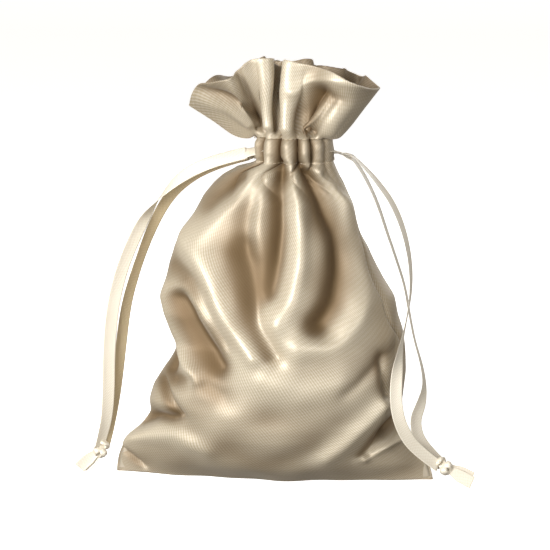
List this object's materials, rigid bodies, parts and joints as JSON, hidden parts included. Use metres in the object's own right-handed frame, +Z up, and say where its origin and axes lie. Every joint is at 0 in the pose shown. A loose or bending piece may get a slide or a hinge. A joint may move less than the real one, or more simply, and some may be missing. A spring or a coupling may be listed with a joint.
{
  "type": "fabric gift sack",
  "caption": "Satin gift sack standing on its base, neck drawn shut by ribbon drawstrings below a flared ruffle, with knotted ribbon ends.",
  "frame": {"origin": "middle of the base, on the surface the sack stands on", "axes": "+Z up; +X to the right of somebody looking at the front; +Y to the back"},
  "size_m": [0.1892, 0.0784, 0.196],
  "materials": {
    "satin": "ivory gold bridal satin, glossy, fine twill weave",
    "ribbon": "pale ivory satin ribbon with woven edges",
    "thread": "matched polyester sewing thread"
  },
  "bodies": {
    "sack": {"front_panel": "satin", "back_panel": "satin", "left_seam_allowance": "satin", "right_seam_allowance": "satin", "bottom_seam_allowance": "satin", "left_seam_stitches": "thread", "right_seam_stitches": "thread", "bottom_seam_stitches": "thread", "front_casing": "satin", "back_casing": "satin", "front_casing_facing": "satin", "back_casing_facing": "satin", "casing_lower_seam": "satin", "casing_upper_seam": "satin", "left_slot_tacks": "thread", "right_slot_tacks": "thread", "left_ribbon_in_casing": "ribbon", "right_ribbon_in_casing": "ribbon"},
    "header": {"front_header": "satin", "back_header": "satin", "front_header_facing": "satin", "back_header_facing": "satin"},
    "left_drawstring_exit": {"left_ribbon_entry": "ribbon"},
    "left_drawstring": {"left_front_strand": "ribbon", "left_back_strand": "ribbon", "left_knot": "ribbon", "left_tails": "ribbon"},
    "right_drawstring_exit": {"right_ribbon_entry": "ribbon"},
    "right_drawstring": {"right_front_strand": "ribbon", "right_back_strand": "ribbon", "right_knot": "ribbon", "right_tails": "ribbon"}
  },
  "joints": [
    {"name": "header_nod", "type": "hinge", "parent": "sack", "child": "header", "pos_m": [0.012, 0, 0.156], "axis": [1, 0, 0], "range_deg": [-20, 20], "stiffness_Nm_per_rad": 0.006},
    {"name": "left_pull", "type": "slide", "parent": "sack", "child": "left_drawstring_exit", "axis": [-1, 0, 0], "range_m": [0, 0.01]},
    {"name": "left_swing", "type": "hinge", "parent": "left_drawstring_exit", "child": "left_drawstring", "pos_m": [-0.0095, 0, 0.156], "axis": [0, 1, 0], "range_deg": [0, 40]},
    {"name": "right_pull", "type": "slide", "parent": "sack", "child": "right_drawstring_exit", "axis": [1, 0, 0], "range_m": [0, 0.01]},
    {"name": "right_swing", "type": "hinge", "parent": "right_drawstring_exit", "child": "right_drawstring", "pos_m": [0.0335, 0, 0.156], "axis": [0, -1, 0], "range_deg": [0, 60]}
  ]
}
